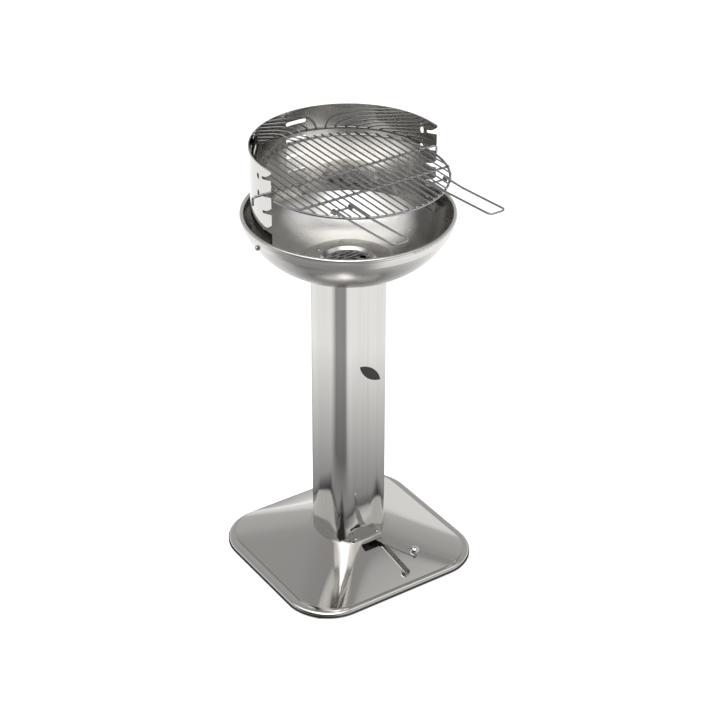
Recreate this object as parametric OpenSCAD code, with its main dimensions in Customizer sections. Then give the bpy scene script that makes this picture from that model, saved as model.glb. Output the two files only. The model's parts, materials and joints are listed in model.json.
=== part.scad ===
// Charcoal grill on a square column: pressed foot, tube, bowl, windshield, hanging cooking grid.
// Millimetres. Z is up, Y- is the open front, and the origin is on the floor under the column's axis.

/* [Foot] */
// Width of the pressed foot, left to right
foot_w = 472; // [455:1:500]
// Depth of the pressed foot, front to back
foot_d = 444; // [434:1:470]
// Corner radius of the foot's outer edge
foot_corner_r = 105; // [98:1:110]
// Thickness of the pressed sheet
foot_sheet = 1.5; // [1:0.1:2]
// Height of the flat outer border above the floor
border_z = 16.5; // [15:0.5:18]
// Height of the round plateau that carries the column
plateau_z = 71; // [70:0.5:73]
// Radius of the plateau
plateau_r = 88; // [87:0.5:90]
// Height that the rubber glides keep under the foot's edge
glide_h = 4; // [3:0.5:5]

/* [Column] */
// Outer width of the square tube
column_w = 126.5; // [125:0.5:128]
// Outer corner radius of the tube
column_corner_r = 17; // [14:1:20]
// Wall thickness of the tube
column_wall = 1.5; // [1.2:0.1:2]
// Radius of the round plate on top of the tube
top_flange_r = 88; // [86:0.5:90]
// Thickness of those plates
flange_t = 3; // [3:0.5:4]
// Half the spacing of the flange bolts, left to right
bolt_x = 29; // [28.5:0.5:30]
// Half the spacing of the lower bolts, front to back
foot_bolt_y = 74.5; // [74:0.5:75]
// Half the spacing of the upper bolts, front to back
bowl_bolt_y = 70.5; // [70:0.5:71]

/* [Bowl] */
// Radius over the rolled rim
rim_r = 227.4; // [227:0.1:228.5]
// Height of the rim's middle
rim_z = 862.6; // [862:0.2:863.4]
// Radius of the rolled edge itself
rim_bead_r = 4.8; // [4.5:0.1:5]
// Radius of the bowl's curved wall, outside
bowl_arc_r = 178.7; // [178.2:0.1:179.2]
// Thickness of the bowl's sheet
bowl_sheet = 1.2; // [1:0.1:1.4]
// Height of the flat seat in the bowl's floor, top face
seat_z = 750.2; // [750:0.1:750.6]
// Radius where the seat dips to the charcoal grate
dip_r = 60.4; // [60:0.1:60.6]
// Depth of that dip
dip_depth = 7; // [6.5:0.1:7]
// Radius of the opening under the charcoal grate
throat_r = 45.5; // [42:0.5:47]

/* [Charcoal grate] */
// Radius of the slotted plate
grate_r = 53; // [52.5:0.1:53]
// Thickness of the plate
grate_t = 2; // [1.5:0.5:3]
// Width of each slot
slot_w = 4.5; // [3.5:0.5:5]
// Distance between rows of slots
slot_pitch = 10.5; // [9.5:0.1:10.6]
// Radius of the two finger holes
finger_r = 7; // [5.5:0.5:7.5]

/* [Windshield] */
// Distance from the rim's outside in to the bent sheet's outside
shield_inset = 23.9; // [23.4:0.1:24.2]
// Thickness of the sheet
shield_t = 0.8; // [0.8:0.1:1]
// Height of its top edge above the highest hanging level
shield_over = 27.5; // [25:0.5:32]
// Length of the straight ends in front of the half circle
shield_ends = 28.5; // [26:0.5:32]
// Height of the highest hanging level
level_top = 990; // [989:0.5:991]
// Distance between the four hanging levels
level_pitch = 37.8; // [37.6:0.1:38.2]
// Width of the slots in the back
back_slot_w = 50; // [46:1:54]
// Height of the slots in the back
back_slot_h = 8.2; // [8:0.1:9]

/* [Cooking grid] */
// Distance from the shield's outside in to the middle of the ring's wire
ring_inset = 4.5; // [4.5:0.5:6]
// Distance of the ring's centre in front of the column's axis
ring_forward = 18; // [17:0.5:19]
// Wire diameter of the ring and the cross wires
frame_wire = 5.4; // [5.2:0.1:5.4]
// Wire diameter of the bars
bar_wire = 3.6; // [3.2:0.1:3.6]
// Distance between bars
bar_pitch = 16.5; // [16.4:0.1:16.6]
// Bars on each side of the middle one
bars_each_side = 11; // [8:1:11]
// Wire diameter of the handles and of their hinge wires
handle_wire = 4.5; // [4.2:0.1:4.5]
// Reach of the handles in front of their hinge wires
handle_reach = 202; // [160:1:215]

/* [Damper] */
// Turn of the lever from open to shut, in degrees
damper_turn = 22.5; // [22.5:0.5:22.5]
// Width of the flat lever
lever_w = 12; // [11:0.5:12.5]
// Thickness of the lever
lever_t = 2.5; // [2:0.5:2.5]
// Distance from the column's axis to the middle of the knob
knob_reach = 195.4; // [180:0.2:200]
// Radius of the ball knob
knob_r = 11; // [9:0.5:12]

/* [Badge] */
// Length of the blank leaf-shaped badge
badge_len = 70; // [50:1:76]
// Height of the badge
badge_h = 24; // [18:1:26]

/* [Hidden] */
$fn = 64;
// Steps round a circle where a small piece has to follow the bowl's wall closely
fine = 720;
// Colours as the photograph shows them
polished = [0.78, 0.78, 0.77];
brushed = [0.66, 0.66, 0.66];
chromed = [0.82, 0.83, 0.84];
dark_rubber = [0.10, 0.10, 0.10];
badge_black = [0.07, 0.07, 0.08];
// A cut reaches this far past the faces that it goes through
over = 1;
// Gap between faces that touch on moving pieces
play = 0.3;
// Bends in wires are thicker by this much and overlap the straight wire by the lap
bend_swell = 0.03;
lap = 0.15;

// Foot: the pressed rise starts on a step inside the border
step_h = 3.5;
rise_z = border_z + step_h;
side_border = 21;
front_border = 10;
rise_w = foot_w - 2 * side_border;
rise_d = foot_d - 2 * front_border;
rise_corner_r = foot_corner_r - 15;
edge_round = 8;
// Near its corners the rise is a cone that reaches this far from the axis
corner_reach = norm([rise_w / 2, rise_d / 2]) - rise_corner_r * (sqrt(2) - 1);
// The flat faces start this far outside the plateau's edge, so that they cross the cone and don't touch it
face_start = plateau_r + 0.5;
// Cutters reach this far, well past the whole grill
far = 300;
glide_r = 9;
glide_stem_r = 5;

// Air holes: eight sectors under the column
air_sectors = 8;
air_inner_r = 19;
air_outer_r = 50;

// Bolts with domed heads
bolt_r = 3;
bolt_head_r = 5.25;
bolt_head_h = 3.3;
nut_r = 5.8;
nut_h = 5;
hole_play = 0.3;
foot_bolt_end = 7;

column_z = plateau_z + flange_t;
column_top = seat_z - bowl_sheet - flange_t;
foot_opening_r = 58;
flange_tab_w = 84;
flange_tab_margin = 16;
// The upper plate's opening clears the dip in the bowl's floor
top_opening_r = dip_r + 1.3;

// Bowl: the wall is an arc whose centre stands above the seat
arc_x = 59.3;
arc_z = 917.7;
wall_start_r = 102.5;
wall_end_slope = 65.15;
seat_r = 95;
// The wall's end inside the rolled edge
flare_r = rim_r - 3.2;
grate_z = seat_z - dip_depth;
ledge_r = dip_r - dip_depth;

// Windshield
shield_r = rim_r - shield_inset;
shield_top = level_top + shield_over;
ring_r = shield_r - ring_inset;
half_slot = back_slot_w / 2;
slot_drop = 0.7;
hem_h = 5.8;
hem_t = 1.6;
shield_in_r = shield_r - shield_t;
vent_y = 23;
vent_drop = 1;
vent_r = 4.9;
vent_stretch = 3.5;
screw_z = 841;
screw_r = 2.5;
screw_head_r = 4.6;
screw_head_h = 2.6;
screw_angles = [0, 90, 180];
saddle_r = 5.5;
saddle_face = rim_r - 3.4;
shield_nut_r = 4.6;
shield_nut_h = 4;
// The flat nuts keep this distance from the curved sheet
nut_gap = 0.15;

// Cooking grid: it hangs on the second level
hang_level = level_top - level_pitch;
hook_seat_y = 4.5;
hook_seat_r = 2.95;
hook_seat_z = 2.25;
// The notches and the tails of the middle bars slope alike, so that the grid draws straight out
lift_slope = 0.259;
wire_z = hang_level + 2.1;
wire_y = hook_seat_y;
front_wire_y = -ring_forward - 76.4;
bar_z = wire_z + frame_wire / 2 + bar_wire / 2;
bar_over = 3.2;
tail_end_y = 210;
hook_x = shield_r + 23.5;
hook_down = 17.5;
hook_bend = 5.5;

// Handles: each swings on a hinge wire under the bars
hinge_y = -ring_forward - 122.5;
hinge_z = wire_z + (frame_wire - handle_wire) / 2;
handle_w = 38.4;
left_handle_x = -107.5;
right_handle_x = 124;
eye_r = handle_wire + play + 0.05;
eye_turn = 262;
handle_bend_y = -ring_forward - 181.5;
handle_rise = 3.85;
handle_corner_r = 11.5;
hinge_wire_over = 8;

// Damper
damper_r = 56;
damper_t = 1.2;
under_plateau = plateau_z - foot_sheet;
damper_z = under_plateau - 0.3 - damper_t;
lever_z = damper_z - lever_t;
// At rest the damper is open and the lever stands this many degrees to the right
lever_angle = damper_turn / 2;
// Outside the foot the lever bends sideways, which puts the knob this far beside its line
lever_bend = 104;
knob_side = 15.2;
pivot_r = 4;
lever_slot_z = 64.6;
lever_slot_h = 8.2;
lever_slot_y = 104;
rivet_r = 2;
rivet_at = [32, 46];

// Badge on the column's front, low on the right
badge_x = 14.7;
badge_z = 494.5;
badge_tilt = 41.7;
badge_t = 1.2;

// Copies of the children on both sides, left and right, front and back
module four_corners(x, y) {
    for (sx = [-1, 1], sy = [-1, 1]) {
        translate([sx * x, sy * y, 0]) children();
    }
}

// Flat rectangle with round corners, centred
module round_rect(w, d, r) {
    union() {
        square([w - 2 * r, d], center = true);
        square([w, d - 2 * r], center = true);
        for (sx = [-1, 1], sy = [-1, 1]) {
            translate([sx * (w / 2 - r), sy * (d / 2 - r)]) circle(r);
        }
    }
}

// Slab with round corners whose upper edge is rounded over
module round_top_slab(w, d, r, h, e) {
    linear_extrude(h - e) round_rect(w, d, r);
    linear_extrude(h) round_rect(w - 2 * e, d - 2 * e, r - e);
    for (s = [-1, 1]) {
        translate([-(w / 2 - r), s * (d / 2 - e), h - e]) rotate([0, 90, 0]) cylinder(r = e, h = w - 2 * r);
        translate([s * (w / 2 - e), -(d / 2 - r), h - e]) rotate([-90, 0, 0]) cylinder(r = e, h = d - 2 * r);
    }
    four_corners(w / 2 - r, d / 2 - r) {
        translate([0, 0, h - e]) rotate_extrude() translate([r - e, 0]) circle(e);
    }
}

// Section of a cutter above a slope that falls from the plateau's height at start to the rise's foot at reach;
// skin lowers the slope for the underside
module slope_section(start, reach, skin) {
    fall = (plateau_z - rise_z) / (reach - start);
    low = skin * norm([1, fall]);
    inner = start - 30;
    outer = reach + 100;
    polygon([
        [inner, plateau_z - low + (start - inner) * fall], [outer, rise_z - low - (outer - reach) * fall],
        [outer, far], [inner, far]
    ]);
}

// Long cutter that leaves a flat sloping face along the X+ side
module face_cutter(reach, skin) {
    translate([0, far, 0]) rotate([90, 0, 0]) linear_extrude(2 * far) slope_section(face_start, reach, skin);
}

// The foot's solid form; the underside is the same form, smaller by the sheet
module foot_form(skin) {
    round_top_slab(foot_w - 2 * skin, foot_d - 2 * skin, foot_corner_r - skin, border_z - skin, edge_round - skin);
    difference() {
        linear_extrude(plateau_z - skin) {
            round_rect(rise_w - 2 * skin, rise_d - 2 * skin, rise_corner_r - skin);
        }
        for (a = [0, 180]) {
            rotate([0, 0, a]) face_cutter(rise_w / 2, skin);
            rotate([0, 0, a + 90]) face_cutter(rise_d / 2, skin);
        }
        rotate_extrude($fn = 180) slope_section(plateau_r, corner_reach, skin);
    }
}

// Eight sector openings, drawn flat; a closed stretch lies over the lever in its rest position
module air_openings() {
    half = 90 / air_sectors;
    reach = air_outer_r + 20;
    for (i = [0 : air_sectors - 1]) {
        rotate(i * 360 / air_sectors - lever_angle) {
            intersection() {
                difference() {
                    circle(air_outer_r);
                    circle(air_inner_r);
                }
                polygon([[0, 0], [reach * cos(half), -reach * sin(half)], [reach * cos(half), reach * sin(half)]]);
            }
        }
    }
}

module foot_plate() {
    color(polished)
    difference() {
        foot_form(0);
        foot_form(foot_sheet);
        translate([0, 0, -over]) cube([2 * foot_w, 2 * foot_d, 2 * (glide_h + over)], center = true);
        translate([0, 0, plateau_z - 2 * foot_sheet]) linear_extrude(3 * foot_sheet) air_openings();
        translate([0, 0, plateau_z - 5]) cylinder(r = pivot_r + 0.1, h = 10);
        translate([0, 0, plateau_z - 5]) four_corners(bolt_x, foot_bolt_y) cylinder(r = bolt_r + hole_play, h = 10);
        lever_slot();
    }
}

// Level slot through the front slope for the lever's swing
module lever_slot() {
    r = lever_slot_h / 2;
    end_x = lever_slot_y * tan(lever_angle) + lever_w / 2 / cos(lever_angle) + 1.5 - r;
    depth = 44;
    translate([0, depth / 2 - lever_slot_y, lever_slot_z]) rotate([90, 0, 0]) linear_extrude(depth) {
        square([2 * end_x, lever_slot_h], center = true);
        for (x = [-end_x, end_x]) {
            translate([x, 0]) circle(r);
        }
    }
}

// Rubber glides whose stems stand under the flat border at its corners
module foot_glides() {
    out = (foot_corner_r - edge_round - glide_stem_r) * sqrt(0.5);
    color(dark_rubber)
    four_corners(foot_w / 2 - foot_corner_r + out, foot_d / 2 - foot_corner_r + out) {
        cylinder(r = glide_r, h = glide_h);
        cylinder(r = glide_stem_r, h = border_z - foot_sheet);
    }
}

// Plate with an opening for the air and four bolt holes; the child is its outline
module flange_plate(opening_r, bolt_y) {
    linear_extrude(flange_t) difference() {
        children();
        circle(opening_r, $fn = 96);
        for (sx = [-1, 1], sy = [-1, 1]) {
            translate([sx * bolt_x, sy * bolt_y]) circle(bolt_r + hole_play);
        }
    }
}

// As wide as the tube, with a tab in front and behind for the screws
module foot_flange() {
    color(polished)
    translate([0, 0, plateau_z]) flange_plate(foot_opening_r, foot_bolt_y) {
        union() {
            round_rect(column_w, column_w, column_corner_r);
            round_rect(flange_tab_w, 2 * foot_bolt_y + flange_tab_margin, 8);
        }
    }
}

// Domed bolt: the head's flat is at z = 0 and the shank points down
module domed_bolt(shank) {
    dome_r = (pow(bolt_head_r, 2) + pow(bolt_head_h, 2)) / (2 * bolt_head_h);
    difference() {
        intersection() {
            translate([0, 0, bolt_head_h - dome_r]) sphere(dome_r);
            cylinder(r = bolt_head_r + over, h = bolt_head_h);
        }
        translate([0, 0, bolt_head_h - 1.6]) cylinder(r = 2.2, h = 3, $fn = 6);
    }
    translate([0, 0, -shank]) cylinder(r = bolt_r, h = shank + 0.5);
}

// Hexagon nut standing on z = 0
module hex_nut(r, bore, h) {
    difference() {
        cylinder(r = r, h = h, $fn = 6);
        translate([0, 0, -over]) cylinder(r = bore, h = h + 2 * over);
    }
}

module foot_bolts() {
    color(brushed)
    translate([0, 0, plateau_z + flange_t]) four_corners(bolt_x, foot_bolt_y) domed_bolt(flange_t + foot_bolt_end);
}

module foot_nuts() {
    color(brushed)
    translate([0, 0, under_plateau - nut_h]) four_corners(bolt_x, foot_bolt_y) hex_nut(nut_r, bolt_r, nut_h);
}

module column() {
    inner_w = column_w - 2 * column_wall;
    color(polished)
    translate([0, 0, column_z]) linear_extrude(column_top - column_z) {
        difference() {
            round_rect(column_w, column_w, column_corner_r);
            round_rect(inner_w, inner_w, column_corner_r - column_wall);
        }
    }
}

// Blank badge: the overlap of two large circles
module badge() {
    leaf_r = (pow(badge_len / 2, 2) + pow(badge_h / 2, 2)) / badge_h;
    offset_y = leaf_r - badge_h / 2;
    color(badge_black)
    translate([badge_x, -column_w / 2, badge_z]) rotate([90, badge_tilt, 0]) linear_extrude(badge_t) {
        intersection() {
            translate([0, offset_y]) circle(leaf_r, $fn = 120);
            translate([0, -offset_y]) circle(leaf_r, $fn = 120);
        }
    }
}

module top_flange() {
    color(brushed)
    translate([0, 0, column_top]) flange_plate(top_opening_r, bowl_bolt_y) circle(top_flange_r, $fn = 120);
}

// A point on that face where the wall has a given slope
function wall_point(slope, skin) = [
    arc_x + (bowl_arc_r - skin) * sin(slope),
    arc_z - (bowl_arc_r - skin) * cos(slope)
];

// Everything inside the face that lies skin inside the bowl's outer face, as a half section
module bowl_section(skin) {
    low = wall_point(asin((wall_start_r - arc_x) / bowl_arc_r), skin);
    high = wall_point(wall_end_slope, skin);
    slant = (bowl_sheet - skin) * (sqrt(2) - 1);
    inner_seat = seat_z - bowl_sheet + skin;
    inner_ledge = grate_z - bowl_sheet + skin;
    polygon([
        [0, inner_ledge],
        [ledge_r + slant, inner_ledge],
        [dip_r + slant, inner_seat],
        [seat_r - skin, inner_seat],
        low,
        high,
        [flare_r - skin, rim_z - 8.5],
        [flare_r - skin, rim_z - 2.5],
        [0, rim_z - 2.5]
    ]);
    intersection() {
        translate([arc_x, arc_z]) circle(bowl_arc_r - skin, $fn = 360);
        polygon([low, [high[0], low[1]], high]);
    }
}

module bowl() {
    color(polished)
    difference() {
        union() {
            rotate_extrude($fn = 180) {
                difference() {
                    bowl_section(0);
                    bowl_section(bowl_sheet);
                    translate([-over, grate_z - 2 * bowl_sheet]) square([throat_r + over, 3 * bowl_sheet]);
                }
            }
            rotate_extrude($fn = 180) translate([rim_r - rim_bead_r, rim_z]) circle(rim_bead_r, $fn = 32);
        }
        translate([0, 0, seat_z - 5]) four_corners(bolt_x, bowl_bolt_y) cylinder(r = bolt_r + hole_play, h = 10);
        screw_holes(shield_r, saddle_face + 10);
    }
}

module bowl_bolts() {
    color(brushed)
    translate([0, 0, seat_z]) four_corners(bolt_x, bowl_bolt_y) domed_bolt(bowl_sheet + flange_t + foot_bolt_end);
}

module bowl_nuts() {
    color(brushed)
    translate([0, 0, column_top - nut_h]) four_corners(bolt_x, bowl_bolt_y) hex_nut(nut_r, bolt_r, nut_h);
}

// One slot along X between two distances, with round ends
module grate_slot(x0, x1) {
    for (x = [x0 + slot_w / 2, x1 - slot_w / 2]) {
        translate([x, 0]) circle(slot_w / 2);
    }
    translate([x0 + slot_w / 2, -slot_w / 2]) square([x1 - x0 - slot_w, slot_w]);
}

module charcoal_grate() {
    reach = grate_r - 5;
    land = 3;
    finger_x = [14.2, 37.5];
    color(brushed)
    translate([0, 0, grate_z]) linear_extrude(grate_t) {
        difference() {
            circle(grate_r, $fn = 120);
            for (row = [-4 : 4]) {
                half = sqrt(pow(reach, 2) - pow(abs(row) * slot_pitch + slot_w / 2, 2));
                shift = row % 2 == 0 ? 6 : -6;
                translate([0, row * slot_pitch]) {
                    grate_slot(-half, -land + (row == 0 ? 0 : shift));
                    if (row != 0) grate_slot(land + shift, half);
                }
            }
            for (x = finger_x) {
                translate([x, 0]) circle(finger_r);
            }
        }
    }
}

// U-shaped strip seen from above: a half circle behind, straight ends in front
module shield_outline(r, t) {
    difference() {
        circle(r, $fn = 180);
        circle(r - t, $fn = 180);
        translate([-2 * r, -2 * r]) square([4 * r, 2 * r]);
    }
    for (s = [-1, 1]) {
        translate([s > 0 ? r - t : -r, -shield_ends]) square([t, shield_ends]);
    }
}

// Hook-shaped notch, drawn with Y to the right and height above the level upwards
module notch_outline() {
    deep = hook_seat_y;
    notch_in = deep - 1.4;
    notch_low = -0.6;
    notch_out = shield_ends + 8;
    polygon([
        [-notch_out, notch_low + lift_slope * (notch_out + notch_in)], [notch_in, notch_low],
        [deep + 1.7, 4.4], [deep - 0.5, 5.5], [-7.1, 8.4], [-16, 13.1], [-23.1, 18.1], [-notch_out, 28.2]
    ]);
    translate([deep, hook_seat_z]) circle(hook_seat_r);
}

// Round holes through the sheets for the three shield screws
module screw_holes(from_r, to_r) {
    for (a = screw_angles) {
        rotate([0, 0, a]) translate([from_r, 0, screw_z]) rotate([0, 90, 0]) {
            cylinder(r = screw_r + hole_play, h = to_r - from_r);
        }
    }
}

module windshield() {
    low_z = 790;
    color(polished)
    difference() {
        intersection() {
            union() {
                translate([0, 0, low_z]) linear_extrude(shield_top - low_z) shield_outline(shield_r, shield_t);
                translate([0, 0, shield_top - hem_h]) linear_extrude(hem_h) {
                    shield_outline(shield_r + hem_t, shield_t + hem_t);
                }
            }
            union() {
                rotate_extrude($fn = 180) bowl_section(bowl_sheet + 0.1);
                translate([-far, -far, rim_z - 6]) cube([2 * far, 2 * far, far]);
            }
        }
        for (i = [0 : 3]) {
            level = level_top - i * level_pitch;
            translate([-300, 0, level]) rotate([90, 0, 90]) linear_extrude(600) notch_outline();
            back_slot(level - slot_drop);
        }
        for (i = [0, 1]) {
            level = level_top - i * level_pitch;
            translate([-far, vent_y, level - vent_drop]) rotate([90, 0, 90]) linear_extrude(2 * far) vent_outline();
        }
        screw_holes(shield_in_r - 5, shield_r + 5);
    }
}

// Upright oval hole
module vent_outline() {
    for (s = [-1, 1]) {
        translate([0, s * vent_stretch / 2]) circle(vent_r);
    }
    translate([-vent_r, -vent_stretch / 2]) square([2 * vent_r, vent_stretch]);
}

// Level slot through the middle of the back
module back_slot(z) {
    end_r = back_slot_h / 2;
    translate([0, shield_r + 30, z]) rotate([90, 0, 0]) linear_extrude(60) {
        square([back_slot_w - back_slot_h, back_slot_h], center = true);
        for (s = [-1, 1]) {
            translate([s * (half_slot - end_r), 0]) circle(end_r);
        }
    }
}

// Places its children around the shield with X pointing outwards at the screws' height
module at_screws() {
    for (a = screw_angles) {
        rotate([0, 0, a]) translate([0, 0, screw_z]) rotate([0, 90, 0]) children();
    }
}

module shield_screws() {
    shank_from = shield_in_r - shield_nut_h - 1;
    color(brushed)
    at_screws() {
        translate([0, 0, shank_from]) cylinder(r = screw_r, h = saddle_face - shank_from + 0.5);
        translate([0, 0, saddle_face]) cylinder(r1 = screw_head_r, r2 = screw_head_r - 1.2, h = screw_head_h);
    }
}

// Washers whose inner face follows the bowl's outside
module shield_saddles() {
    color(brushed)
    difference() {
        at_screws() {
            difference() {
                translate([0, 0, saddle_face - 15]) cylinder(r = saddle_r, h = 15);
                translate([0, 0, shield_in_r]) cylinder(r = screw_r + 0.1, h = 40);
            }
        }
        rotate_extrude($fn = fine) bowl_section(0);
    }
}

// Sleeves between the shield and the bowl's wall
module shield_spacers() {
    color(brushed)
    intersection() {
        at_screws() {
            difference() {
                translate([0, 0, shield_r]) cylinder(r = saddle_r, h = 25);
                translate([0, 0, shield_in_r]) cylinder(r = screw_r + 0.1, h = 40);
            }
        }
        rotate_extrude($fn = fine) bowl_section(bowl_sheet);
    }
}

module shield_nuts() {
    color(brushed)
    at_screws() {
        translate([0, 0, shield_in_r - shield_nut_h - nut_gap]) hex_nut(shield_nut_r, screw_r, shield_nut_h);
    }
}

// Straight wire between two points
module wire(from, to, d) {
    v = to - from;
    length = norm(v);
    translate(from) rotate([0, acos(v[2] / length), atan2(v[1], v[0])]) cylinder(r = d / 2, h = length, $fn = 24);
}

// Quarter of a ring from X+ to Y+, a little thicker than the straight wire that it joins
module quarter_bend(r, d) {
    rotate_extrude(angle = 90, $fn = 48) translate([r, 0]) circle(d / 2 + bend_swell, $fn = 32);
}

// The ring, or the cutter for wires that end against it, which is thicker by the swell
module ring_form(swell) {
    translate([0, -ring_forward, wire_z]) rotate_extrude($fn = 180) {
        translate([ring_r, 0]) circle(frame_wire / 2 + swell, $fn = 32);
    }
}

module grid_ring() {
    color(chromed) ring_form(0);
}

// Half the ring's chord at a distance from its middle
function half_chord(x) = sqrt(pow(ring_r, 2) - pow(x, 2));

module grid_bars() {
    color(chromed)
    for (i = [-bars_each_side : bars_each_side]) {
        x = i * bar_pitch;
        reach = half_chord(x);
        front = -ring_forward - reach - bar_over;
        back = -ring_forward + reach + (abs(i) <= 1 ? 0 : bar_over);
        wire([x, front, bar_z], [x, back, bar_z], bar_wire);
        if (abs(i) <= 1) {
            translate([x, back, bar_z]) sphere(bar_wire / 2 + bend_swell, $fn = 24);
            wire([x, back, bar_z], [x, tail_end_y, bar_z - lift_slope * (tail_end_y - back)], bar_wire);
        }
    }
}

// Cross wire that meets the ring's inside at both ends
module cross_wire(y) {
    reach = half_chord(y + ring_forward);
    color(chromed)
    difference() {
        wire([-reach, y, wire_z], [reach, y, wire_z], frame_wire);
        ring_form(bend_swell);
    }
}

module cross_wire_rear() {
    cross_wire(wire_y);
}

module cross_wire_front() {
    cross_wire(front_wire_y);
}

// Hooks that run out from the ring through the notches and turn down outside
module hanging_hooks() {
    from_x = half_chord(wire_y + ring_forward);
    bend_x = hook_x - hook_bend;
    color(chromed)
    difference() {
        for (s = [0, 180]) {
            translate([0, wire_y, 0]) rotate([0, 0, s]) {
                wire([from_x, 0, wire_z], [bend_x + lap, 0, wire_z], frame_wire);
                translate([bend_x, 0, wire_z - hook_bend]) rotate([90, 0, 0]) quarter_bend(hook_bend, frame_wire);
                wire([hook_x, 0, wire_z - hook_down], [hook_x, 0, wire_z - hook_bend + lap], frame_wire);
            }
        }
        ring_form(bend_swell);
    }
}

// Short wire under the bars that a handle swings on
module hinge_wire(x) {
    half = handle_w / 2 + hinge_wire_over;
    color(chromed) wire([x - half, hinge_y, hinge_z], [x + half, hinge_y, hinge_z], handle_wire);
}

module hinge_wire_left() {
    hinge_wire(left_handle_x);
}

module hinge_wire_right() {
    hinge_wire(right_handle_x);
}

// One side of a handle: an open eye round the hinge wire, then the wire over the ring
module handle_side(x) {
    top = hinge_z + eye_r;
    translate([x, hinge_y, hinge_z]) rotate([90, 0, 90]) rotate([0, 0, 90]) rotate_extrude(angle = -eye_turn, $fn = 64) {
        translate([eye_r, 0]) circle(handle_wire / 2 + bend_swell, $fn = 32);
    }
    wire([x, hinge_y + lap, top], [x, handle_bend_y, top], handle_wire);
    translate([x, handle_bend_y, top]) sphere(handle_wire / 2 + bend_swell, $fn = 32);
}

// U-shaped wire handle whose far end has two round corners
module handle(x) {
    top = hinge_z + eye_r;
    half = handle_w / 2;
    flat_part = hinge_y - handle_bend_y;
    straight = (handle_reach - flat_part) / cos(handle_rise) - handle_corner_r;
    end_x = half - handle_corner_r;
    end_y = -straight - handle_corner_r;
    color(chromed) {
        handle_side(x - half);
        handle_side(x + half);
        translate([x, handle_bend_y, top]) rotate([-handle_rise, 0, 0]) {
            for (s = [-1, 1]) {
                wire([s * half, 0, 0], [s * half, -straight - lap, 0], handle_wire);
                translate([s * end_x, -straight, 0]) rotate([0, 0, s > 0 ? 270 : 180]) {
                    quarter_bend(handle_corner_r, handle_wire);
                }
            }
            wire([-end_x - lap, end_y, 0], [end_x + lap, end_y, 0], handle_wire);
        }
    }
}

module handle_left() {
    handle(left_handle_x);
}

module handle_right() {
    handle(right_handle_x);
}

module damper_disc() {
    color(brushed)
    translate([0, 0, damper_z]) linear_extrude(damper_t) {
        difference() {
            circle(damper_r, $fn = 120);
            air_openings();
            circle(pivot_r + 0.1);
            for (y = rivet_at) {
                rotate(lever_angle) translate([0, -y]) circle(rivet_r);
            }
        }
    }
}

// Flat lever seen from above, pointing to Y-
module lever_outline() {
    turn = atan(knob_side / (knob_reach - lever_bend));
    difference() {
        union() {
            circle(lever_w / 2 + 3);
            translate([-lever_w / 2, -lever_bend]) square([lever_w, lever_bend]);
            translate([0, -lever_bend]) {
                circle(lever_w / 2);
                rotate(turn) translate([-lever_w / 2, lever_bend - knob_reach]) square([lever_w, knob_reach - lever_bend]);
            }
            translate([knob_side, -knob_reach]) circle(lever_w / 2);
        }
        circle(pivot_r + 0.1);
        for (y = rivet_at) {
            translate([0, -y]) circle(rivet_r);
        }
        translate([knob_side, -knob_reach]) circle(2.6);
    }
}

module vent_lever() {
    color(polished)
    rotate([0, 0, lever_angle]) translate([0, 0, lever_z]) linear_extrude(lever_t) lever_outline();
}

module lever_rivets() {
    head = 1.2;
    color(brushed)
    rotate([0, 0, lever_angle]) {
        for (y = rivet_at) {
            translate([0, -y, lever_z]) cylinder(r = rivet_r, h = lever_t + damper_t);
            translate([0, -y, lever_z - head]) cylinder(r1 = rivet_r, r2 = rivet_r + 1.5, h = head);
        }
    }
}

// Pivot: its domed head stands on the plateau inside the column
module pivot_bolt() {
    head_h = 4;
    color(brushed) {
        translate([0, 0, plateau_z]) cylinder(r = 8, h = head_h);
        translate([0, 0, lever_z - 8]) cylinder(r = pivot_r, h = plateau_z - lever_z + 8 + 1);
    }
}

module pivot_nut() {
    color(brushed) translate([0, 0, lever_z - 6.8]) hex_nut(7.5, pivot_r, 6.5);
}

// Ball knob on a short neck
module lever_knob() {
    neck = 1.6;
    color(polished)
    rotate([0, 0, lever_angle]) translate([knob_side, -knob_reach, lever_z + lever_t]) {
        difference() {
            union() {
                translate([0, 0, neck + knob_r - 1.5]) sphere(knob_r, $fn = 96);
                translate([0, 0, 0.22]) cylinder(r = 5, h = neck + 2);
            }
            translate([0, 0, -over]) cylinder(r = 2.5, h = over + 10);
        }
    }
}

// Screw that holds the knob from under the lever
module knob_screw() {
    color(brushed)
    rotate([0, 0, lever_angle]) translate([knob_side, -knob_reach, lever_z - 0.2]) {
        cylinder(r = 2.5, h = 12);
        translate([0, 0, -3.5]) cylinder(r = 4.5, h = 3.5);
    }
}

foot_plate();
foot_glides();
foot_flange();
foot_bolts();
foot_nuts();
column();
badge();
top_flange();
bowl();
bowl_bolts();
bowl_nuts();
charcoal_grate();
windshield();
shield_screws();
shield_saddles();
shield_spacers();
shield_nuts();
grid_ring();
grid_bars();
cross_wire_rear();
cross_wire_front();
hanging_hooks();
hinge_wire_left();
hinge_wire_right();
handle_left();
handle_right();
damper_disc();
vent_lever();
lever_rivets();
pivot_bolt();
pivot_nut();
lever_knob();
knob_screw();
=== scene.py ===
# %% [markdown]
# # A polished charcoal grill in a white studio
#
# The grill comes in as fixed solids in metres: Z is up, the open front looks
# towards minus Y, and the origin is on the floor under the column.
# This script gives each solid its finish, sets the studio around it, and
# points the camera as the photograph was taken. The solids themselves are
# done: what is left is how their surfaces meet the light.

import json
import math

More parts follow.
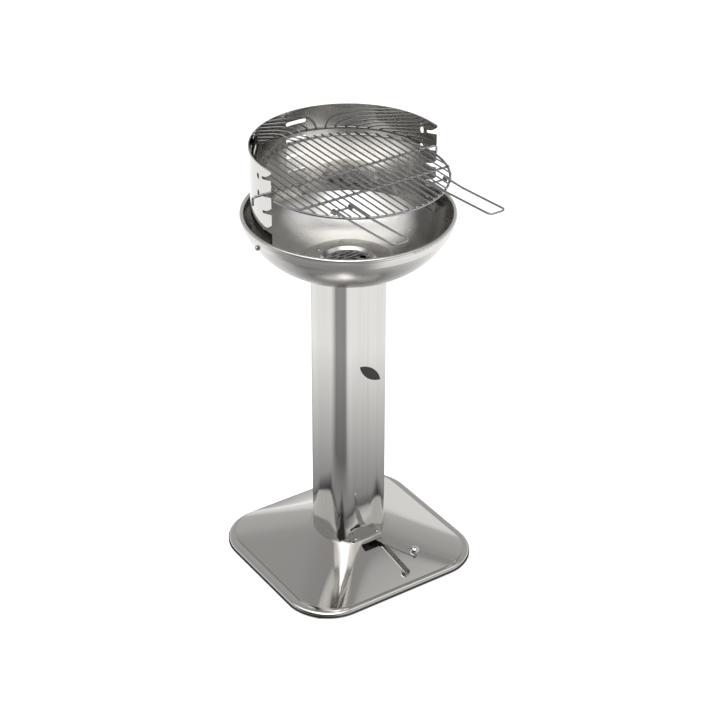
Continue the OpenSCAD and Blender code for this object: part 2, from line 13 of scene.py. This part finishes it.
import bpy
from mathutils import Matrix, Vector

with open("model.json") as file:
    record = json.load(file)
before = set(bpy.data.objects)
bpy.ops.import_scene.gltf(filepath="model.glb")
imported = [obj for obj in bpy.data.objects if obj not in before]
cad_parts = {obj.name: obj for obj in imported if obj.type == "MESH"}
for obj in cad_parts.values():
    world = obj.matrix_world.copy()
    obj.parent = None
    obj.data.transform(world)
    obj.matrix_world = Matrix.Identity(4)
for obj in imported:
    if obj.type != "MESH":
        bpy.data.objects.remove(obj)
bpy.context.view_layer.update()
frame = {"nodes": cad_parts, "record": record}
scene = bpy.context.scene

# %% [markdown]
# ## Colours
#
# Colours are written as sRGB hex codes, the way a colour picker shows them.
# Blender calculates in linear light, so one function converts them all.

# %% Colours


def linear(code):
    """An sRGB hex code as linear red, green, blue and alpha."""
    parts = [int(code[i : i + 2], 16) / 255 for i in (1, 3, 5)]
    rgb = [c / 12.92 if c <= 0.04045 else ((c + 0.055) / 1.055) ** 2.4 for c in parts]
    return (*rgb, 1.0)


print("middle grey in linear light:", [round(c, 4) for c in linear("#808080")])

# %% [markdown]
# ## Nodes
#
# A material is a tree of nodes, which could be drawn by hand in the shader
# editor. In a script, one function adds a node of any kind, sets its
# properties, and fills its sockets with values or with links from other
# nodes. Each call below then reads as one node.

# %% Nodes
MATH = "ShaderNodeMath"
VECTOR = "ShaderNodeVectorMath"
XYZ = "ShaderNodeSeparateXYZ"
RANGE = "ShaderNodeMapRange"
NOISE = "ShaderNodeTexNoise"
BUMP = "ShaderNodeBump"
MIX = "ShaderNodeMix"
PLACE = "ShaderNodeTexCoord"
RAY = "ShaderNodeLightPath"


def fill(node, sockets):
    """Gives each socket a value, or a link from an output or a node's first output."""
    for key, value in sockets.items():
        if isinstance(value, bpy.types.Node):
            value = value.outputs[0]
        if isinstance(value, bpy.types.NodeSocket):
            node.id_data.links.new(value, node.inputs[key])
        else:
            node.inputs[key].default_value = value


def add(tree, kind, sockets=None, **properties):
    """Adds a node with its properties and its filled sockets."""
    node = tree.nodes.new(kind)
    for name, value in properties.items():
        setattr(node, name, value)
    fill(node, sockets or {})
    return node


def new_material(name, color, metallic, roughness):
    """A material, its tree, its shader, and each point's place on the solid in metres."""
    made = bpy.data.materials.new(name)
    made.use_nodes = True
    tree = made.node_tree
    shader = tree.nodes["Principled BSDF"]
    fill(shader, {"Base Color": linear(color), "Metallic": metallic, "Roughness": roughness})
    return made, tree, shader, add(tree, PLACE).outputs["Object"]


print("kinds of node:", MATH, VECTOR, RANGE, NOISE, BUMP)

# %% [markdown]
# ## Bare metal
#
# Polished stainless sheet is a mirror, but never a perfect one. Handling
# leaves faint marks that blur the reflection here and there, polishing leaves
# a fine grain, and rolled sheet waves a little over some centimetres.
# Painted pictures of wear could show this, but they stretch and repeat.
# Noise in the solid's own coordinates doesn't, and each of its scales is
# worked out from a size in millimetres.

# %% Bare metal
# Marks of handling are as wide as a palm's edge
HANDLING_MM = 45
# Real polishing grain is finer than 0.1 mm, and this is the finest that a close view shows
GRAIN_MM = 0.6
GRAIN_HEIGHT = 0.000004
# Streaks are this wide, and as many times longer along Z as the stretch says
STREAK_MM = 9
STREAK_STRETCH = 100
STREAK_SHADE = 0.88
STREAK_STRENGTH = 0.7
# A noise keeps mostly between these two values
LOW, HIGH = 0.3, 0.7


def metal(name, color, roughness, spread, wave_mm=0, wave_height_mm=0, streaks=False, form=None):
    """A bare metal. Roughness varies by spread, and the sheet waves every wave_mm.

    streaks adds faint lines along Z, and form is a function that gives a height in metres.
    """
    made, tree, shader, place = new_material(name, color, 1.0, roughness)
    handling = {"Vector": place, "Scale": 1000 / HANDLING_MM, "Detail": 4.0, "Roughness": 0.6}
    clear, dull = roughness - spread, roughness + spread
    gloss = {"From Min": LOW, "From Max": HIGH, "To Min": clear, "To Max": dull}
    gloss = add(tree, RANGE, {"Value": add(tree, NOISE, handling), **gloss})
    fill(shader, {"Roughness": gloss})
    if streaks:
        along = add(tree, VECTOR, {0: place, 1: (1, 1, 1 / STREAK_STRETCH)}, operation="MULTIPLY")
        lines = add(tree, NOISE, {"Vector": along, "Scale": 1000 / STREAK_MM, "Detail": 3.0})
        tones = {"Value": lines, "From Min": LOW, "From Max": HIGH, "To Max": STREAK_STRENGTH}
        light = linear(color)
        dark = (*[c * STREAK_SHADE for c in light[:3]], 1.0)
        tone = add(tree, MIX, {0: add(tree, RANGE, tones), 6: light, 7: dark}, data_type="RGBA")
        fill(shader, {"Base Color": tone.outputs[2]})
    grain = add(tree, NOISE, {"Vector": place, "Scale": 1000 / GRAIN_MM, "Detail": 2.0})
    relief = add(tree, BUMP, {"Height": grain, "Strength": 0.15, "Distance": GRAIN_HEIGHT})
    if wave_mm:
        wave = add(tree, NOISE, {"Vector": place, "Scale": 1000 / wave_mm, "Detail": 1.0})
        rise = {"Height": wave, "Normal": relief, "Distance": wave_height_mm / 1000}
        relief = add(tree, BUMP, {"Strength": 1.0, **rise})
    if form:
        rise = {"Height": form(tree, place), "Normal": relief, "Distance": 1.0}
        relief = add(tree, BUMP, {"Strength": 1.0, **rise})
    fill(shader, {"Normal": relief})
    return made


print("handling marks", HANDLING_MM, "mm, grain", GRAIN_MM, "mm, streaks", STREAK_MM, "mm")

# %% Sheet and bowl
# Cold-rolled stainless sheet, polished to a mirror: clear reflections that bend a little
polished_steel = metal(
    "polished stainless sheet", "#cfcdca", 0.06, 0.025, wave_mm=70, wave_height_mm=0.2
)
# The bowl is drawn deep, which dulls the sheet: soft bands instead of clear reflections
bowl_steel = metal(
    "softly polished stainless bowl", "#d2d0cd", 0.24, 0.04, wave_mm=80, wave_height_mm=0.1
)
print("sheet:", polished_steel.name, "and", bowl_steel.name)

# %% [markdown]
# ## The pressed foot
#
# The foot is one sheet, pressed over a die. A press can't fold a sharp edge
# into it, so its flat faces run into the ridges and the plateau with a soft
# bend. The solid has the faces and ridges but meets them in edges. Rounding
# the mesh would move it off the solid. A height in the material bends only
# the light: it is the difference between the form with soft bends and the
# form with sharp ones, and 0 wherever the solid is right already.

# %% The foot's soft bends
PLATEAU_HEIGHT = 0.071
# How far from the axis each face starts, and how far it drops for each metre outwards
SIDE_FACE = (0.0885, 0.403)
FRONT_FACE = (0.0885, 0.413)
RIDGE = (0.088, 0.289)
# How wide each bend is
FACE_BEND, RIDGE_BEND, PLATEAU_BEND = 0.012, 0.009, 0.002
# No bend up to the first height, which is the border, and the full bend from the second
BORDER_HEIGHT, STEP_HEIGHT = 0.017, 0.0195
BEND_STRENGTH = 0.93


def foot_bends(tree, place):
    """The height that turns the foot's sharp edges into soft bends."""
    flat = add(tree, VECTOR, {0: place, 1: (1, 1, 0)}, operation="MULTIPLY")
    beside = add(tree, XYZ, {0: add(tree, VECTOR, {0: flat}, operation="ABSOLUTE")})
    away = add(tree, VECTOR, {0: flat}, operation="LENGTH").outputs["Value"]
    outwards = ((beside.outputs["X"], SIDE_FACE), (beside.outputs["Y"], FRONT_FACE), (away, RIDGE))
    slopes = []
    for out, (start, fall) in outwards:
        drop = {0: out, 1: -fall, 2: PLATEAU_HEIGHT + start * fall}
        slopes.append(add(tree, MATH, drop, operation="MULTIPLY_ADD"))
    sharp = soft = slopes[0]
    lower = ((slopes[1], FACE_BEND), (slopes[2], RIDGE_BEND), (PLATEAU_HEIGHT, PLATEAU_BEND))
    for level, bend in lower:
        sharp = add(tree, MATH, {0: sharp, 1: level}, operation="MINIMUM")
        soft = add(tree, MATH, {0: soft, 1: level, 2: bend}, operation="SMOOTH_MIN")
    change = add(tree, MATH, {0: soft, 1: sharp}, operation="SUBTRACT")
    # The border below the step stays as it is
    height = add(tree, XYZ, {0: place}).outputs["Z"]
    limits = {"From Min": BORDER_HEIGHT, "From Max": STEP_HEIGHT, "To Max": BEND_STRENGTH}
    above = add(tree, RANGE, {"Value": height, **limits})
    return add(tree, MATH, {0: change, 1: above}, operation="MULTIPLY").outputs[0]


# The mirror sheet again, with the longer waves that pressing leaves in it
pressed_steel = metal(
    "pressed polished stainless",
    "#cfcdca",
    0.06,
    0.025,
    wave_mm=160,
    wave_height_mm=0.5,
    form=foot_bends,
)
print("foot:", pressed_steel.name)

# %% [markdown]
# ## The square tube
#
# The column is rolled and welded tube. Rolling draws faint streaks along it,
# and leaves each face slightly crowned: flat in the middle, falling away
# towards the rounded corners. Flat faces would mirror the studio as one even
# grey. The crown spreads it into the bands that the photograph shows.

# %% The tube's crowned faces
FLAT_HALF_WIDTH = 0.02
CROWN = 5.0


def tube_crown(tree, place):
    """A height that falls with the square of the distance from each face's flat middle."""
    beside = add(tree, VECTOR, {0: place, 1: (1, 1, 0)}, operation="MULTIPLY")
    beside = add(tree, VECTOR, {0: beside}, operation="ABSOLUTE")
    beyond = add(tree, VECTOR, {0: beside, 1: [FLAT_HALF_WIDTH] * 3}, operation="SUBTRACT")
    beyond = add(tree, VECTOR, {0: beyond, 1: (0, 0, 0)}, operation="MAXIMUM")
    square = add(tree, VECTOR, {0: beyond, 1: beyond}, operation="DOT_PRODUCT").outputs["Value"]
    return add(tree, MATH, {0: square, 1: -CROWN}, operation="MULTIPLY").outputs[0]


# Stainless tube, polished after rolling: upright streaks across soft bands
tube_steel = metal(
    "polished stainless tube",
    "#cdcbc8",
    0.08,
    0.02,
    wave_mm=90,
    wave_height_mm=0.1,
    streaks=True,
    form=tube_crown,
)
print("column:", tube_steel.name)

# %% [markdown]
# ## Wire, plates, screws and knob
#
# The small pieces are bare metal too, so the same function makes them. They
# get no waves, because wire and screws are too slim to show any: what tells
# them apart is their gloss. The wire is set darker than the sheet, as it
# looks in the photograph, and plain stainless is greyer and duller.

# %% Wire, plates, screws and knob
# Plain stainless for the upper flange, the damper and the charcoal grate: a satin sheen
satin_steel = metal("satin stainless", "#b9b8b5", 0.28, 0.06)
# Bright chrome plate on drawn wire: thin sharp highlights
chromed_wire = metal("chrome-plated wire", "#9fa0a1", 0.15, 0.03)
# Plain steel bolts, nuts, rivets and screws: a slightly blurred shine
fastener_steel = metal("plain steel fasteners", "#a3a2a0", 0.22, 0.06)
# The turned and polished ball on the lever: a small round mirror
knob_steel = metal("polished metal ball", "#c9c9ca", 0.08, 0.02)
print("small pieces:", satin_steel.name, chromed_wire.name, fastener_steel.name, knob_steel.name)

# %% [markdown]
# ## Enamel and rubber
#
# The badge is a blank leaf of black enamel: glass fired onto metal, with a
# gloss that varies over some millimetres. The glides are moulded rubber,
# matt and finely pored. Both are plain dielectrics, so a roughness pattern
# and a small bump are all that they need.

# %% Enamel and rubber
SPECKLE_MM = 3.0
PORE_MM = 0.8
PORE_DEPTH = 0.0001

badge_enamel, tree, shader, place = new_material("black enamel", "#0b0b0c", 0.0, 0.3)
speckle = add(tree, NOISE, {"Vector": place, "Scale": 1000 / SPECKLE_MM, "Detail": 3.0})
gloss = add(tree, RANGE, {"Value": speckle, "To Min": 0.22, "To Max": 0.42})
fill(shader, {"Roughness": gloss})

rubber, tree, shader, place = new_material("moulded rubber", "#1c1c1c", 0.0, 0.75)
pores = add(tree, NOISE, {"Vector": place, "Scale": 1000 / PORE_MM, "Detail": 2.0})
relief = add(tree, BUMP, {"Height": pores, "Strength": 0.3, "Distance": PORE_DEPTH})
fill(shader, {"Normal": relief})
print("others:", badge_enamel.name, "and", rubber.name)

# %% [markdown]
# ## Hand each solid its material
#
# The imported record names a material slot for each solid. The bowl, the
# column and the foot share the slot of the polished sheet, but each was
# shaped in its own way and has its own polish. The flange under the column
# mirrors like the sheet, although its slot is that of the satin pieces.

# %% Materials by slot
finish = {
    "polished_steel": polished_steel,
    "satin_steel": satin_steel,
    "chromed_wire": chromed_wire,
    "fasteners": fastener_steel,
    "knob_steel": knob_steel,
    "badge_black": badge_enamel,
    "rubber": rubber,
}
own_finish = {
    "bowl": bowl_steel,
    "column": tube_steel,
    "foot_plate": pressed_steel,
    "foot_flange": polished_steel,
}
slot_of = {row["node"]: row["material_slot"] for row in frame["record"]["subparts"]}
for name, solid in frame["nodes"].items():
    solid.data.materials.clear()
    solid.data.materials.append(own_finish.get(name, finish[slot_of[name]]))
    print(name, "->", solid.data.materials[0].name)

# %% [markdown]
# ## The floor
#
# Product photographs of metal are taken on white paper. The camera sees pure
# white around the grill, but the metal sees more: the grill's own shadow on
# the paper, and the dark room where the paper ends. A real sheet and a real
# room would need much light and many samples. Instead the floor glows
# white, and a Light Path node gives mirrored rays a painted shadow and a
# painted dark room on it.

# %% Floor
FLOOR_SIZE = 12
FLOOR_GREY = "#c8c8c8"
FLOOR_GLOW = 0.62
# Half the width and depth of the patch under the foot that gets no glow
PATCH = (0.205, 0.19, 1.0)
# The paper ends this far round from the grill's front, and is painted this much darker there
PAPER_END = math.radians(-62)
DARKNESS = 0.68

bpy.ops.mesh.primitive_plane_add(size=FLOOR_SIZE, location=(0, 0, 0))
floor = bpy.context.object
floor.name = "studio_floor"
floor_paint, tree, shader, place = new_material("white studio floor", FLOOR_GREY, 0.0, 0.9)
fill(shader, {"Specular IOR Level": 0.0, "Emission Color": (1, 1, 1, 1)})
path = add(tree, RAY).outputs
print("floor:", FLOOR_SIZE, "m wide")

# %% The paper's painted shades
away = add(tree, VECTOR, {0: place}, operation="LENGTH").outputs["Value"]

# How far out a point lies, with 1 on the edge of the patch
patch = add(tree, VECTOR, {0: place, 1: PATCH}, operation="DIVIDE")
patch = add(tree, XYZ, {0: add(tree, VECTOR, {0: patch}, operation="ABSOLUTE")}).outputs
edge = add(tree, MATH, {0: patch["X"], 1: patch["Y"]}, operation="MAXIMUM")
open_floor = add(tree, RANGE, {"Value": edge, "From Min": 0.92, "From Max": 1.05})

# The paper ends at the front left of the grill, where the room is dark: a painted dark room on the
# paper there
front_left = (math.sin(PAPER_END), -math.cos(PAPER_END), 0)
bearing = add(tree, VECTOR, {0: place}, operation="NORMALIZE")
facing = add(tree, VECTOR, {0: bearing, 1: front_left}, operation="DOT_PRODUCT").outputs["Value"]
dark_side = add(tree, RANGE, {"Value": facing, "From Min": 0.36, "From Max": 0.68})
dark_from = add(tree, RANGE, {"Value": away, "From Min": 0.28, "From Max": 0.5})
dark_side = add(tree, MATH, {0: dark_side, 1: dark_from}, operation="MULTIPLY")
paper = add(tree, MATH, {0: dark_side, 1: -DARKNESS, 2: 1.0}, operation="MULTIPLY_ADD")

# A painted shadow of the grill greys the paper near the foot, and most of all beside its edge
painted_contact_shadow = {"Value": edge, "From Min": 1.15, "From Max": 1.45, "To Min": 0.15}
shadow = {"Value": away, "From Min": 0.24, "From Max": 1.0, "To Min": 0.2, "To Max": 0.86}
for grey in (painted_contact_shadow, shadow):
    paper = add(tree, MATH, {0: paper, 1: add(tree, RANGE, grey)}, operation="MULTIPLY")
print("nodes for the paper's shades:", len(tree.nodes))

# %% Glow and paint
# The camera sees even white, mirrored rays see the paper with its painted shadow and painted dark
# room, and all others see no glow
glow = add(tree, MATH, {0: paper, 1: path["Is Glossy Ray"]}, operation="MULTIPLY")
glow = add(tree, MATH, {0: glow, 1: path["Is Camera Ray"]}, operation="MAXIMUM")
glow = add(tree, MATH, {0: glow, 1: FLOOR_GLOW}, operation="MULTIPLY")
glow = add(tree, MATH, {0: glow, 1: open_floor}, operation="MULTIPLY")

# The paint that the lamps light gets the same painted shade for mirrored rays
not_mirrored = add(tree, MATH, {0: 1.0, 1: path["Is Glossy Ray"]}, operation="SUBTRACT")
shade = add(tree, MATH, {0: paper, 1: not_mirrored}, operation="MAXIMUM")
tones = {0: shade, 6: (0, 0, 0, 1), 7: linear(FLOOR_GREY)}
painted_shade_tint = add(tree, MIX, tones, data_type="RGBA").outputs[2]
fill(shader, {"Emission Strength": glow, "Base Color": painted_shade_tint})
floor.data.materials.append(floor_paint)
print("floor:", floor_paint.name, "with", len(tree.nodes), "nodes")

# %% [markdown]
# ## The dome
#
# What metal looks like is what it mirrors. The world is painted for it as a
# studio: white up to where the backdrop ends, then a grey ceiling, with a
# few round patches: the dark room at the front left, and soft lights.
# Photographed surroundings would be quicker, but they bring colours and
# window frames that the object in the photograph doesn't mirror.

# %% Dome
# Each band's share of the way from 0.2 under the horizon to overhead, and its grey
LOWEST = -0.2
BANDS = [(0.0, 1.0), (0.27, 0.95), (0.38, 0.62), (0.60, 0.54), (0.84, 0.38), (1.0, 0.36)]
# Degrees from the grill's front, degrees up, radius and soft edge in degrees, and brightness
DARK_ROOM = (-56, 12, 44, 14, 0.05)
SIDE_LIGHT = (-110, 62, 20, 9, 1.8)
RIGHT_LIGHT = (60, 55, 14, 7, 1.3)
CEILING_LIGHT = (-38, 66, 24, 10, 3.3)

world = bpy.data.worlds.new("white studio")
scene.world = world
world.use_nodes = True
tree = world.node_tree
tree.nodes.clear()
direction = add(tree, PLACE).outputs["Generated"]
height = add(tree, XYZ, {0: direction}).outputs["Z"]
height = add(tree, RANGE, {"Value": height, "From Min": LOWEST})
bands = add(tree, "ShaderNodeValToRGB", {0: height})
stops = bands.color_ramp.elements
stops.remove(stops[1])
for i, (at, grey) in enumerate(BANDS):
    stop = stops[0] if i == 0 else stops.new(at)
    stop.position = at
    stop.color = (grey, grey, grey * 0.99, 1)

print("bands:", [(stop.position, round(stop.color[0], 2)) for stop in stops])

# %% Round patches on the dome
dome = bands.outputs["Color"]
for azimuth, elevation, radius, soft, grey in (DARK_ROOM, SIDE_LIGHT, RIGHT_LIGHT, CEILING_LIGHT):
    a, e = math.radians(azimuth), math.radians(elevation)
    aim = (math.sin(a) * math.cos(e), -math.cos(a) * math.cos(e), math.sin(e))
    near = add(tree, VECTOR, {0: direction, 1: aim}, operation="DOT_PRODUCT").outputs["Value"]
    inner, outer = (math.cos(math.radians(radius + side * soft)) for side in (-1, 1))
    inside = add(tree, RANGE, {"Value": near, "From Min": outer, "From Max": inner})
    tones = {0: inside, 6: dome, 7: (grey, grey, grey, 1)}
    dome = add(tree, MIX, tones, data_type="RGBA").outputs[2]
    print("patch at", (azimuth, elevation), "with grey", grey)

# %% Dome for metal, white for the camera
studio = add(tree, "ShaderNodeBackground", {"Color": dome, "Strength": 1.0})
white = add(tree, "ShaderNodeBackground", {"Color": (1, 1, 1, 1), "Strength": 1.0})
to_camera = add(tree, RAY).outputs["Is Camera Ray"]
both = add(tree, "ShaderNodeMixShader", {0: to_camera, 1: studio, 2: white})
add(tree, "ShaderNodeOutputWorld", {"Surface": both})
print("world:", world.name, "with", len(tree.nodes), "nodes")

# %% [markdown]
# ## Lights
#
# Two large soft lamps, as softboxes beside a table: the key from the upper
# left, a weaker fill from the right. Large lamps make soft shadows. They
# light the matt pieces and the floor, but metal would mirror them as hard
# squares, so mirrored rays don't see them and the dome's patches do that.

# %% Lamps
LAMP_SIZE = 1.6
MIDDLE = Vector((0, 0, 0.5))
LAMPS = {"key lamp": ((-2.2, -1.2, 3.0), 60), "fill lamp": ((2.4, -1.8, 2.2), 25)}
for name, (place, watts) in LAMPS.items():
    data = bpy.data.lights.new(name, "AREA")
    data.size = LAMP_SIZE
    data.energy = watts
    lamp = bpy.data.objects.new(name, data)
    scene.collection.objects.link(lamp)
    lamp.location = place
    lamp.rotation_euler = (MIDDLE - lamp.location).to_track_quat("-Z", "Y").to_euler()
    lamp.visible_glossy = False
    print(name, "at", place, "with", watts, "W")

# %% [markdown]
# ## Camera
#
# The place, the tilt and the focal length were fitted to edges measured in
# the photograph, so the render lines up with it. The grill stands a little
# left of the picture's middle, which a small shift gives without a turn.

# %% Camera
FOCAL_MM = 92.79
SHIFT = 0.0162
DISTANCE = 3.4676
CAMERA_HEIGHT = 2.5966
TURN = math.radians(33.573)
TILT = math.radians(31.144)
camera_data = bpy.data.cameras.new("photograph's view")
camera_data.sensor_width = 36
camera_data.lens = FOCAL_MM
camera_data.shift_x = SHIFT
camera = bpy.data.objects.new("photograph's view", camera_data)
scene.collection.objects.link(camera)
camera.location = (-DISTANCE * math.sin(TURN), -DISTANCE * math.cos(TURN), CAMERA_HEIGHT)
camera.rotation_euler = (math.pi / 2 - TILT, 0, -TURN)
scene.camera = camera
print("camera:", [round(v, 4) for v in camera.location])

# %% [markdown]
# ## Finish
#
# With the Standard view transform, a colour shows as it is written.

# %% Finish
scene.view_settings.view_transform = "Standard"
